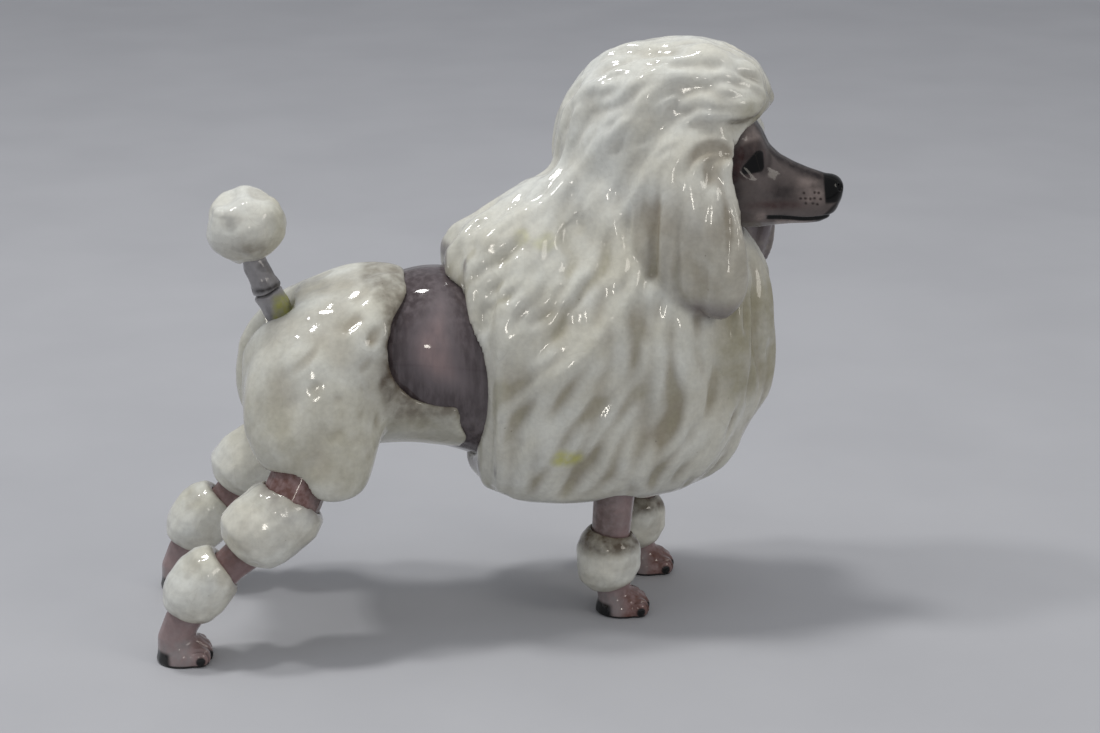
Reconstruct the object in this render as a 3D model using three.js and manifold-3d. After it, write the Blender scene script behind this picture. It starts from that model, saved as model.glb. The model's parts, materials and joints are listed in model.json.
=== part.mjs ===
// Standing poodle figurine in glazed ceramic, continental clip. Millimetres, +Z up, nose toward +X,
// the dog's left side toward +Y. The origin is the middle of the bounding box on the ground.
import * as THREE from "three";
import { mergeVertices } from "three/addons/utils/BufferGeometryUtils.js";
import Module from "manifold-3d";

const wasm = await Module();
wasm.setup();

// ---- driving dimensions ----
const JOINT = 0.3; // luting gap left between neighbouring pieces
const SQUARE = 0.34; // how square the mane's flat rear side is at its foot, 1 being an ellipse
const GROUND = 0;
const FORELOCK = 0.72; // how square the front of the topknot is
const KNEE = 30; // height where a hind leg's step ahead starts
const STEP_OVER = 12; // height over which it is taken
const HEAD_AT = [42, 0, 0]; // the neck's turning point
const HEAD_TURN = -18; // degrees about Z, toward the dog's right
const EAR_SWING = 5; // the left ear hangs this far ahead of the right one

const HIND_Y = 21.3; // half the distance between the hind feet
const FRONT_Y = 12.1; // half the distance between the front feet
const FRONT_X = 28.5; // right front foot
const FRONT_STEP = 11.5; // the left front foot stands this far ahead of the right one
const HIND_X = -74.8; // right hind foot
const HIND_STEP = 2.4; // the left hind foot stands this far ahead of the right one

// ---- tables of sections: [position along, low side, high side, half width] ----
const MANE = [
  [26.6, 34, 34, 0],
  [27.2, 20, 43, 8],
  [28.8, 6, 48.5, 15],
  [31.6, -2.4, 53, 19.6],
  [36, -5, 57, 22.6],
  [43, -5.6, 61.5, 24.6],
  [53, -6, 65.4, 25.8],
  [63, -7, 67, 25.8],
  [73, -8.4, 66.4, 24.4],
  [81, -9.6, 64.2, 21.8],
  [87.5, -10.4, 61, 18.4],
  [91.5, -8.6, 58.5, 16.2],
  [95.5, -2.6, 56, 14.6],
  [99.5, 4.6, 54, 13.4],
  [103.5, 11.5, 51, 12],
  [106.5, 17, 47, 8.5],
  [107.4, 33, 33, 0],
];
const LOIN = [
  [-31, 62, 62, 0],
  [-30.4, 50, 76, 12],
  [-27, 46, 80.6, 16],
  [-21, 45, 81.2, 16.8],
  [-14, 43.2, 81.4, 17.2],
  [-8, 40.2, 81.8, 17.6],
  [-3, 37.6, 82, 17.8],
  [0.4, 46, 78, 13],
  [1, 62, 62, 0],
];
const LOIN_REAR_X = -26.5;
const LOIN_FRONT_X = -3.2;
const RUMP = [
  [-59.8, 59, 59, 0],
  [-59.4, 53, 65, 7],
  [-57.4, 48, 70, 13],
  [-53, 45, 75.6, 18],
  [-48, 43, 78.8, 21],
  [-42, 42.4, 81.2, 22.6],
  [-35, 42.4, 82.9, 22.6],
  [-29, 42.4, 84.6, 21.4],
  [-23, 42.2, 84, 20.2],
  [-18, 41.6, 82, 19.6],
  [-13, 40.6, 78, 19.4],
  [-9.6, 39.8, 70, 19],
  [-7.6, 40.4, 62, 18.6],
  [-7.2, 49, 49, 0],
];
// Thigh sections carry one more column: the middle of the section across the body.
const THIGH = [
  [36.4, -40, -40, 0, 21],
  [36.9, -45, -35.4, 5, 21],
  [38.6, -49.4, -33, 7.8, 20.8],
  [42, -54, -31, 9.2, 19.6],
  [46.2, -57.4, -29.6, 10.4, 17.8],
  [51.4, -59.4, -27.4, 11.4, 15.6],
  [58, -59.4, -25.6, 11.6, 13.8],
  [65, -57.8, -26, 11.2, 12.2],
  [72, -53.5, -27.6, 9.8, 10.6],
  [78, -46, -30.5, 6.6, 8],
  [79.2, -39, -39, 0, 8],
];
const FLANK_SCOOPS = [
  { x: -11.8, z: 68.6, rx: 14.6, rz: 13 },
  { x: -3.6, z: 53.2, rx: 7, rz: 7.4 },
];

const TAIL_ROOT = [
  [-47.6, 0, 70, 2.2],
  [-48.8, 0, 73.2, 3.3],
  [-50.6, 0, 76.8, 3.3],
  [-51.7, 0, 79.1, 3.4],
];
const TAIL_STEM = [
  [-51.9, 0, 79.8, 3.3],
  [-53.2, 0, 82.8, 2.9],
  [-54.6, 0, 86.6, 2.7],
  [-55.6, 0, 90.4, 2.2],
];
const POMPON = { at: [-56, 0, 95.2], r: 8.9, lumps: 0.45 };

// The skull and muzzle run forward from the neck's turning point: [forward, low, high, half width].
const SKULL = [
  [-9, 104, 104, 0],
  [-8, 99, 111, 6],
  [-3, 94, 117, 10],
  [4, 91.6, 119.6, 11.6],
  [11, 90.8, 120.2, 11.6],
  [16.5, 90.6, 119, 10.6],
  [20, 90.8, 114.4, 8.8],
  [22, 91.2, 110.4, 7.6],
  [24.8, 91.6, 107.9, 6.6],
  [28.6, 92, 106.1, 5.7],
  [32.4, 92.2, 104.7, 5],
  [35.4, 92.9, 103.9, 4.4],
  [37.6, 95.2, 102.9, 3.6],
  [38.9, 98, 101.6, 2.2],
  [39.2, 99.8, 99.8, 0],
];
const NECK = [
  [2, 0, 84, 7],
  [-1, 0, 92, 8.2],
  [1, 0, 101, 9],
];
// The topknot stands on the skull: [height, back, front, half width, middle across].
const TOPKNOT = [
  [80, -12, -12, 0, 0],
  [80.8, -18.5, -5, 11, 0],
  [85, -22.5, 0, 15.6, 0],
  [91, -25.6, 3, 17.6, 0],
  [98, -27.6, 7, 17.8, 0],
  [105, -28.6, 12.4, 17.6, 0],
  [110, -28.4, 15.2, 17.4, 0],
  [115, -27.2, 17.6, 17.2, 0],
  [118.6, -25.8, 21.4, 17.3, 0],
  [121.4, -24, 22.4, 16.8, 0],
  [125, -21.2, 21, 15.4, 0],
  [128.6, -16.8, 19.4, 13, 0],
  [131.4, -11.4, 16.6, 9.8, 0],
  [133.4, -6, 12.4, 6, 0],
  [134, 2.6, 2.6, 0, 0],
];
// Each ear hangs down beside the cheek: [height, back, front, half thickness, middle across].
const EAR = [
  [116.6, 6.4, 6.4, 0, 12.4],
  [115.6, 0.6, 12.2, 2.8, 13],
  [112, -3.2, 14.2, 3.6, 14.4],
  [107, -4.8, 14.5, 3.8, 16],
  [102, -5.6, 15.6, 3.8, 17.4],
  [96, -6, 18, 3.8, 18.8],
  [89, -5.2, 19.5, 3.8, 20],
  [83, -2.2, 19.2, 3.7, 20.6],
  [78.6, 2.8, 17.6, 3.3, 20.8],
  [75.4, 8.4, 15, 2.4, 20.6],
  [74.4, 11.8, 11.8, 0, 20.4],
];

// Legs run from inside the coat to the foot: [x, y, z, radius], y being the foot's own line.
const HIND_LEG = [
  [-41, -6.5, 53, 4.2],
  [-44, -3.8, 46.4, 6],
  [-48.6, -0.8, 39, 6.7],
  [-50.6, 0, 34.4, 6.6],
  [-54.6, 0, 29.6, 5.4],
  [-60, 0, 25.2, 4.2],
  [-64.4, 0, 21.6, 3.8],
  [-69.4, 0, 16.6, 3.9],
  [-74.2, 0, 10.6, 3.8],
  [-76.4, 0, 6.4, 3.9],
  [-76.2, 0, 2.6, 4.4],
];
const HIND_BRACELET_UPPER = [
  [-46.8, 0, 36.4, 7.2],
  [-48.6, 0, 35.3, 8.5],
  [-52.6, 0, 32.8, 9],
  [-56.8, 0, 29.8, 9.1],
  [-59.6, 0, 27.4, 8.5],
  [-60.9, 0, 26.1, 6.6],
];
const HIND_BRACELET_LOWER = [
  [-66, 0, 22.2, 5.9],
  [-67.4, 0, 20.9, 7.2],
  [-70.6, 0, 17.4, 7.6],
  [-73.4, 0, 13.9, 7.2],
  [-74.8, 0, 12, 5.6],
];
const FRONT_LEG = [
  [29.6, 2.2, 52, 4],
  [27.6, 1.2, 42, 4.8],
  [26.4, 0, 30, 4.6],
  [25.6, 0, 20, 4.3],
  [25.2, 0, 12, 3.9],
  [26.2, 0, 6.4, 3.7],
  [27.2, 0, 3, 4.2],
];
const FRONT_BRACELET = [
  [25.5, 0, 19.9, 5.8],
  [25.2, 0, 17.9, 7.2],
  [25, 0, 13.4, 7.8],
  [24.9, 0, 9.2, 7],
  [25, 0, 7.2, 5.2],
];
const FOOT = { length: 12.4, width: 11.6, height: 5.4, toes: 4, toeRadius: 2.5 };

// ---- how the skins are meshed ----
const POLE = 1e-6; // share of a skin's height taken as its end point
const THINNEST = 4; // half width below which a lock's ridge gets no taller, in share of the width
const SQUARE_FADE = [0.45, 0.8]; // share of the height over which a flat rear side turns round
const DOME_RINGS = 2; // rings of a limb that close each end
const CUFF_MESH = { around: 18, along: 9, dome: 0.35 };
const TAIL_MESH = { around: 14, along: 8, dome: 0.05 };

// ---- building blocks ----
function solid(geometry) {
  const bare = new THREE.BufferGeometry();
  bare.setAttribute("position", geometry.getAttribute("position"));
  bare.setIndex(geometry.index);
  const merged = mergeVertices(bare, 1e-3);
  const mesh = new wasm.Mesh({
    numProp: 3,
    vertProperties: new Float32Array(merged.attributes.position.array),
    triVerts: new Uint32Array(merged.index.array),
  });
  return new wasm.Manifold(mesh);
}

// The solid of a closed skin whose faces may point either way.
function outward(geometry) {
  const made = solid(geometry);
  if (made.volume() > 0) return made;
  const index = geometry.index;
  for (let i = 0; i < index.count; i += 3) {
    const second = index.getX(i + 1);
    index.setX(i + 1, index.getX(i + 2));
    index.setX(i + 2, second);
  }
  return solid(geometry);
}

function geometryOf(body) {
  const mesh = body.getMesh();
  const geometry = new THREE.BufferGeometry();
  const corners = new Float32Array(mesh.vertProperties);
  geometry.setAttribute("position", new THREE.BufferAttribute(corners, 3));
  geometry.setIndex(new THREE.BufferAttribute(new Uint32Array(mesh.triVerts), 1));
  geometry.computeVertexNormals();
  return geometry;
}

function power(value, exponent) {
  return Math.sign(value) * Math.abs(value) ** exponent;
}

// A smooth curve through points.
function curve(points) {
  return new THREE.CatmullRomCurve3(points, false, "centripetal");
}

// A closed skin through flat sections stacked along Z ("z") or along X ("x"). The first and the last
// row are single points. `square` flattens the side that faces back (below `low`), `brow` the front,
// both as the exponent of a superellipse. `locks` raises wavy ridges that run from section to section.
function stacked(rows, options = {}) {
  const { axis = "z", around = 28, along = 16, grow = 0 } = options;
  const { square = 1, brow = 1, locks = null } = options;
  const last = rows.length - 1;
  const rising = rows[last][0] > rows[0][0] ? 1 : -1;
  const steps = rows.map((row, i) => {
    const end = i === 0 ? -1 : i === last ? 1 : 0;
    const wide = end === 0 ? grow : 0;
    const place = row[0] + end * grow * rising;
    return { place, low: row[1] - wide, high: row[2] + wide, half: row[3] + wide, middle: row[4] || 0 };
  });
  const position = curve(steps.map((s) => new THREE.Vector3(s.place, s.middle, 0)));
  const outline = curve(steps.map((s) => new THREE.Vector3(s.low, s.high, s.half)));
  const sphere = new THREE.SphereGeometry(1, around, along);
  const at = sphere.getAttribute("position");
  const uv = sphere.getAttribute("uv");
  const vertex = new THREE.Vector3();
  const place = new THREE.Vector3();
  const size = new THREE.Vector3();
  for (let i = 0; i < at.count; i += 1) {
    const t = THREE.MathUtils.clamp(uv.getY(i), 0, 1);
    vertex.fromBufferAttribute(at, i);
    const angle = Math.atan2(vertex.z, vertex.x);
    const pole = t < POLE || t > 1 - POLE ? 0 : 1;
    position.getPoint(t, place);
    outline.getPoint(t, size);
    const fade = THREE.MathUtils.smoothstep(t, ...SQUARE_FADE);
    const flatness = Math.cos(angle) < 0 ? square + (1 - square) * fade : brow;
    let ridge = 1;
    if (locks) {
      const bend = locks.sway * Math.sin(locks.bends * Math.PI * t);
      const wave = Math.sin(locks.count * angle + bend) * Math.sin(Math.PI * t);
      ridge += (locks.depth * wave) / Math.max(size.z, THINNEST);
    }
    const half = (Math.abs(size.y - size.x) / 2) * ridge * pole;
    const middle = (size.x + size.y) / 2;
    const u = middle + half * power(Math.cos(angle), flatness);
    const aside = power(Math.sin(angle), (1 + flatness) / 2);
    const v = place.y + Math.max(size.z, 0) * ridge * pole * aside;
    if (axis === "z") at.setXYZ(i, u, v, place.x);
    else at.setXYZ(i, place.x, v, u);
  }
  return outward(sphere);
}

// A round limb through [x, y, z, radius] rows with domed ends. `side` is the limb's own line across
// the body. `shift` moves it ahead, over `fade` mm below the knee if that is given.
function limb(rows, options = {}) {
  const { side = 0, shift = 0, fade = 0, grow = 0, around = 16, along = 14, dome = 0.8 } = options;
  const points = rows.map(([x, y, z]) => {
    const share = fade ? THREE.MathUtils.smoothstep(KNEE - z, 0, fade) : 1;
    return new THREE.Vector3(x + shift * share, side + y * Math.sign(side || 1), z);
  });
  const spine = curve(points);
  const girth = curve(rows.map((row) => new THREE.Vector3(row[3], 0, 0)));
  const sphere = new THREE.SphereGeometry(1, around, along);
  const at = sphere.getAttribute("position");
  const uv = sphere.getAttribute("uv");
  const vertex = new THREE.Vector3();
  for (let i = 0; i < at.count; i += 1) {
    vertex.fromBufferAttribute(at, i);
    const angle = Math.atan2(vertex.z, vertex.x);
    const run = (1 - uv.getY(i)) * along;
    const t = THREE.MathUtils.clamp((run - DOME_RINGS) / (along - 2 * DOME_RINGS), 0, 1);
    const endward = Math.max(0, 1 - run / DOME_RINGS, 1 - (along - run) / DOME_RINGS);
    const radius = girth.getPoint(t).x + grow;
    const tangent = spine.getTangent(t);
    const across = new THREE.Vector3(0, 1, 0).addScaledVector(tangent, -tangent.y).normalize();
    const other = new THREE.Vector3().crossVectors(tangent, across);
    const ring = Math.sqrt(Math.max(0, 1 - endward * endward)) * radius;
    const bulge = endward * dome * radius * (run < along / 2 ? -1 : 1);
    const point = spine.getPoint(t).addScaledVector(tangent, bulge);
    point.addScaledVector(across, Math.sin(angle) * ring);
    point.addScaledVector(other, Math.cos(angle) * ring);
    at.setXYZ(i, point.x, point.y, point.z);
  }
  return outward(sphere);
}

function moved(geometry, x, y, z) {
  return solid(geometry.translate(x, y, z));
}

function box(x0, x1, y0, y1, z0, z1) {
  const geometry = new THREE.BoxGeometry(x1 - x0, y1 - y0, z1 - z0);
  return moved(geometry, (x0 + x1) / 2, (y0 + y1) / 2, (z0 + z1) / 2);
}

function mirrored(rows, side) {
  return rows.map((row) => [row[0], row[1], row[2], row[3], (row[4] || 0) * side]);
}

// Sets a body built in the head's own frame onto the neck.
function onNeck(body) {
  return body.rotate([0, 0, HEAD_TURN]).translate(HEAD_AT);
}

// ---- head group ----
function makeSkull(grow = 0) {
  const skull = stacked(SKULL, { axis: "x", around: 20, along: 16, grow });
  const neck = limb(NECK, { grow, around: 14, along: 8 });
  return onNeck(skull.add(neck));
}

function makeTopknot(grow = 0) {
  const locks = { count: 9, depth: 0.55, sway: 1.4, bends: 2 };
  return onNeck(stacked(TOPKNOT, { around: 32, along: 14, grow, brow: FORELOCK, locks }));
}

function makeEar(side, grow = 0) {
  const locks = { count: 8, depth: 0.3, sway: 1.2, bends: 2 };
  const ear = stacked(mirrored(EAR, side), { around: 20, along: 12, grow, locks });
  return onNeck(ear.translate([side > 0 ? EAR_SWING : 0, 0, 0]));
}

// ---- body group ----
function makeMane(grow = 0) {
  const locks = { count: 14, depth: 0.7, sway: 1.6, bends: 2 };
  return stacked(MANE, { around: 44, along: 22, grow, square: SQUARE, locks });
}

function makeLoin(grow = 0) {
  const whole = stacked(LOIN, { axis: "x", around: 26, along: 12, grow });
  const slab = box(LOIN_REAR_X - grow, LOIN_FRONT_X + grow, -40, 40, 20, 100);
  return whole.intersect(slab);
}

function makeRump() {
  let body = stacked(RUMP, { axis: "x", around: 30, along: 16 });
  for (const side of [-1, 1]) body = body.add(stacked(mirrored(THIGH, side), { around: 20, along: 12 }));
  for (const cut of FLANK_SCOOPS) {
    const scoop = new THREE.CylinderGeometry(1, 1, 80, 28);
    scoop.scale(cut.rx, 1, cut.rz);
    body = body.subtract(moved(scoop, cut.x, 0, cut.z));
  }
  return body;
}

// ---- legs ----
function makeFoot(x, y, grow) {
  const pad = new THREE.SphereGeometry(1, 14, 8);
  pad.scale(FOOT.length / 2 + grow, FOOT.width / 2 + grow, FOOT.height + grow);
  let foot = moved(pad, x, y, 0.6);
  for (let i = 0; i < FOOT.toes; i += 1) {
    const across = ((i - (FOOT.toes - 1) / 2) / FOOT.toes) * FOOT.width * 0.86;
    const ahead = FOOT.length * 0.33 - Math.abs(across) * 0.28;
    const toe = new THREE.SphereGeometry(FOOT.toeRadius + grow, 8, 5);
    foot = foot.add(moved(toe, x + ahead, y + across, 1.6));
  }
  return foot;
}

function makeHindLeg(side, grow = 0) {
  const shift = side > 0 ? HIND_STEP : 0;
  const core = limb(HIND_LEG, { side: side * HIND_Y, shift, fade: STEP_OVER, grow, around: 13, along: 16 });
  const whole = core.add(makeFoot(HIND_X + shift, side * HIND_Y, grow));
  return whole.subtract(box(-200, 200, -60, 60, -30, GROUND - grow));
}

function makeFrontLeg(side, grow = 0) {
  const shift = side > 0 ? FRONT_STEP : 0;
  const core = limb(FRONT_LEG, { side: side * FRONT_Y, shift, grow, around: 13, along: 12 });
  const whole = core.add(makeFoot(FRONT_X + shift, side * FRONT_Y, grow));
  return whole.subtract(box(-200, 200, -60, 60, -30, GROUND - grow));
}

// ---- tail ----
function makePompon() {
  const ball = new THREE.SphereGeometry(POMPON.r, 22, 14);
  const at = ball.getAttribute("position");
  const p = new THREE.Vector3();
  for (let i = 0; i < at.count; i += 1) {
    p.fromBufferAttribute(at, i).normalize();
    const lump = Math.sin(4 * p.x + 1) * Math.sin(5 * p.y + 0.5) + Math.sin(5 * p.z + 2 * p.x);
    p.multiplyScalar(POMPON.r + POMPON.lumps * lump * 0.6);
    at.setXYZ(i, p.x, p.y, p.z);
  }
  return moved(ball, ...POMPON.at);
}

// ---- assembly ----
const figurine = new THREE.Group();

function add(name, body, color) {
  const material = new THREE.MeshStandardMaterial({ color, roughness: 0.2 });
  const mesh = new THREE.Mesh(geometryOf(body), material);
  mesh.name = name;
  figurine.add(mesh);
}

const COAT = "#e9e6dc";
const SKIN = "#8d7f83";
const PINK = "#a98583";

const sides = [
  ["right", -1],
  ["left", 1],
];

const skullSpace = makeSkull(JOINT);
const topknotSpace = makeTopknot(JOINT);
const maneSpace = makeMane(JOINT);
const loinSpace = makeLoin(JOINT);

let mane = makeMane().subtract(loinSpace).subtract(skullSpace).subtract(topknotSpace);

const tailSocket = limb(TAIL_ROOT, { grow: JOINT, ...TAIL_MESH });
let rump = makeRump().subtract(loinSpace).subtract(tailSocket);

for (const [word, side] of sides) {
  const front = makeFrontLeg(side);
  const frontSpace = makeFrontLeg(side, JOINT);
  const hind = makeHindLeg(side);
  const hindSpace = makeHindLeg(side, JOINT);
  const shift = side > 0 ? FRONT_STEP : 0;
  const hindShift = side > 0 ? HIND_STEP : 0;
  mane = mane.subtract(frontSpace);
  rump = rump.subtract(hindSpace);
  add(`front_leg_${word}`, front, PINK);
  add(`hind_leg_${word}`, hind, PINK);
  const cuff = limb(FRONT_BRACELET, { side: side * FRONT_Y, shift, ...CUFF_MESH });
  add(`front_bracelet_${word}`, cuff.subtract(frontSpace), COAT);
  const hindCuff = { side: side * HIND_Y, shift: hindShift, fade: STEP_OVER, ...CUFF_MESH };
  const upper = limb(HIND_BRACELET_UPPER, hindCuff);
  const lower = limb(HIND_BRACELET_LOWER, hindCuff);
  add(`hind_bracelet_upper_${word}`, upper.subtract(hindSpace), COAT);
  add(`hind_bracelet_lower_${word}`, lower.subtract(hindSpace), COAT);
  const ear = makeEar(side).subtract(skullSpace).subtract(topknotSpace).subtract(maneSpace);
  add(`ear_${word}`, ear, COAT);
}

add("mane_coat", mane, COAT);
add("loin", makeLoin(), SKIN);
add("hindquarter_coat", rump, COAT);
add("head", makeSkull(), SKIN);
add("topknot", makeTopknot().subtract(skullSpace), COAT);
add("tail_root", limb(TAIL_ROOT, TAIL_MESH), SKIN);
const stemSpace = limb(TAIL_STEM, { grow: JOINT, ...TAIL_MESH, dome: 0.2 });
add("tail_stem", limb(TAIL_STEM, TAIL_MESH), SKIN);
add("tail_pompon", makePompon().subtract(stemSpace), COAT);

export default figurine;
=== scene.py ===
import json
import math

import bpy
import numpy as np
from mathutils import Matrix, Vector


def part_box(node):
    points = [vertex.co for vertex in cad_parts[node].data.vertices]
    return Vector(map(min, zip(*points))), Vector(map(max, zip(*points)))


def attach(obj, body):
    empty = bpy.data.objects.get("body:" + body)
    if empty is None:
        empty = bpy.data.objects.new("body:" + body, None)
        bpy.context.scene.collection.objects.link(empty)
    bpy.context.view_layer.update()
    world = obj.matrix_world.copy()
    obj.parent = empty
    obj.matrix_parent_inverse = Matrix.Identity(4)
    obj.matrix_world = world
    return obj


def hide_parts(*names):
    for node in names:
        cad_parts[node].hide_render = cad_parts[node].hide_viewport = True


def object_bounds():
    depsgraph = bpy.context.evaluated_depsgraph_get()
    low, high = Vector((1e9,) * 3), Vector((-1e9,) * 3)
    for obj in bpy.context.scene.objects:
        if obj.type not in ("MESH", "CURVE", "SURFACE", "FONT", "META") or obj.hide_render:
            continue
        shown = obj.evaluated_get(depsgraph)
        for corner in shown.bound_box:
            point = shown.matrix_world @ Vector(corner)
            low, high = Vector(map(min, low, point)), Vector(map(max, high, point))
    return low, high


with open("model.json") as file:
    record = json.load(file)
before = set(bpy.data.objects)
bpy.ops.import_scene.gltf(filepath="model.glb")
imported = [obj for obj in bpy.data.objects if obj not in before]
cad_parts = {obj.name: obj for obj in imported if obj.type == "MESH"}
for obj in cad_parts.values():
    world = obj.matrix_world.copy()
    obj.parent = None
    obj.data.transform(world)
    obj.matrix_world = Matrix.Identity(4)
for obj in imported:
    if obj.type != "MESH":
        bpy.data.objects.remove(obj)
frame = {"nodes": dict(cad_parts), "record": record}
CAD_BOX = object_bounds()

import openvdb as vdb
from mathutils import Vector
from mathutils.bvhtree import BVHTree

# Glazed ceramic poodle in a continental clip. Sculpting is done in millimetres on signed-distance
# "clay" taken from the CAD nodes, and every finished piece is turned into metres.

MM = 0.001
REACH = 3.2  # mm either side of a surface for which distances are kept
COAT_STEP = 0.62  # mm between samples on the large coats
FINE_STEP = 0.3  # mm on legs, cuffs and tail
FACE_STEP = 0.24  # mm on the head
COMB_STEP = 1.1  # mm between the stations of a combed strand
COMB_REACH = 12  # mm that a strand is followed either way

HEAD_TURN = math.radians(-18)  # the head looks to the dog's right
MUZZLE_REACH = 39.2  # mm from the neck's turning point to the tip of the nose

CAMERA_AZIMUTH = -10.416  # degrees from the dog's right side, towards its tail
CAMERA_ELEVATION = 18.0  # degrees
CAMERA_DISTANCE = 0.58045  # m from the point aimed at
CAMERA_FIELD = 25.0  # degrees across
AIM_FROM_CENTRE = (0.01398, 0.0, -0.00937)  # m from the middle of the CAD box
LIGHT_DISTANCE = 0.95  # m from the middle of the CAD box
FLOOR_HALF = 4.0  # m


# ---- small helpers ----
def unit(vectors):
    return vectors / np.maximum(np.linalg.norm(vectors, axis=-1, keepdims=True), 1e-9)


def ramp(value, start, stop):
    """0 at start, 1 at stop, smooth in between; start may be above stop."""
    share = np.clip((value - start) / (stop - start), 0, 1)
    return share * share * (3 - 2 * share)


def bump(value, middle, width):
    """A bell of height 1."""
    return np.exp(-(((value - middle) / width) ** 2))


def blend(share, a, b):
    return a + (b - a) * share


def near_line(u, v, start, stop):
    """Distance in a plane from each (u, v) to the segment from start to stop."""
    start = np.array(start, float)
    run = np.array(stop, float) - start
    along = np.clip(((u - start[0]) * run[0] + (v - start[1]) * run[1]) / (run @ run), 0, 1)
    return np.hypot(u - start[0] - along * run[0], v - start[1] - along * run[1])


def corners(*names):
    """Lowest and highest corner of some CAD nodes, in mm."""
    boxes = [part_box(name) for name in names]
    low = np.min([np.array(b[0]) for b in boxes], axis=0)
    high = np.max([np.array(b[1]) for b in boxes], axis=0)
    return low / MM, high / MM


def node_mesh(name):
    data = frame["nodes"][name].data
    data.calc_loop_triangles()
    points = np.empty(len(data.vertices) * 3, np.float32)
    data.vertices.foreach_get("co", points)
    faces = np.empty(len(data.loop_triangles) * 3, np.int32)
    data.loop_triangles.foreach_get("vertices", faces)
    return points.reshape(-1, 3) / MM, faces.reshape(-1, 3).astype(np.uint32)


def distance_to(name, points):
    """Unsigned distance in mm from each point to a CAD node's surface."""
    corners_of, faces = node_mesh(name)
    tree = BVHTree.FromPolygons([Vector(p) for p in corners_of], [[int(i) for i in f] for f in faces])
    return np.array([tree.find_nearest(Vector(p))[3] for p in points])


def sample(values, places):
    """Trilinear readings of a grid at fractional cell positions."""
    cell = np.clip(np.floor(places).astype(int), 0, np.array(values.shape) - 2)
    share = np.clip(places - cell, 0, 1)
    total = np.zeros(len(places))
    for corner in np.ndindex(2, 2, 2):
        weight = np.prod(np.where(corner, share, 1 - share), axis=1)
        total += weight * values[tuple((cell + corner).T)]
    return total


class Grain:
    """Smooth random values with a spread of 1 and features of one size, readable anywhere."""

    def __init__(self, low, high, size, seed):
        self.step = size / 5
        self.low = low - 4
        shape = np.ceil((high - low + 8) / self.step).astype(int) + 2
        noise = np.random.RandomState(seed).normal(size=shape)
        lines = [np.fft.fftfreq(n, self.step) for n in shape]
        pitch = np.sqrt(sum(line**2 for line in np.meshgrid(*lines, indexing="ij", sparse=True)))
        self.values = np.fft.ifftn(np.fft.fftn(noise) * bump(pitch * size, 1, 0.35)).real
        self.values /= self.values.std()

    def at(self, points):
        return sample(self.values, (points - self.low) / self.step)


# ---- clay ----
def merge(a, b, soft):
    """The union of two distance fields with a fillet about `soft` mm wide."""
    overlap = np.maximum(soft - np.abs(a - b), 0) / soft
    return np.minimum(a, b) - overlap * overlap * soft / 4


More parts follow.
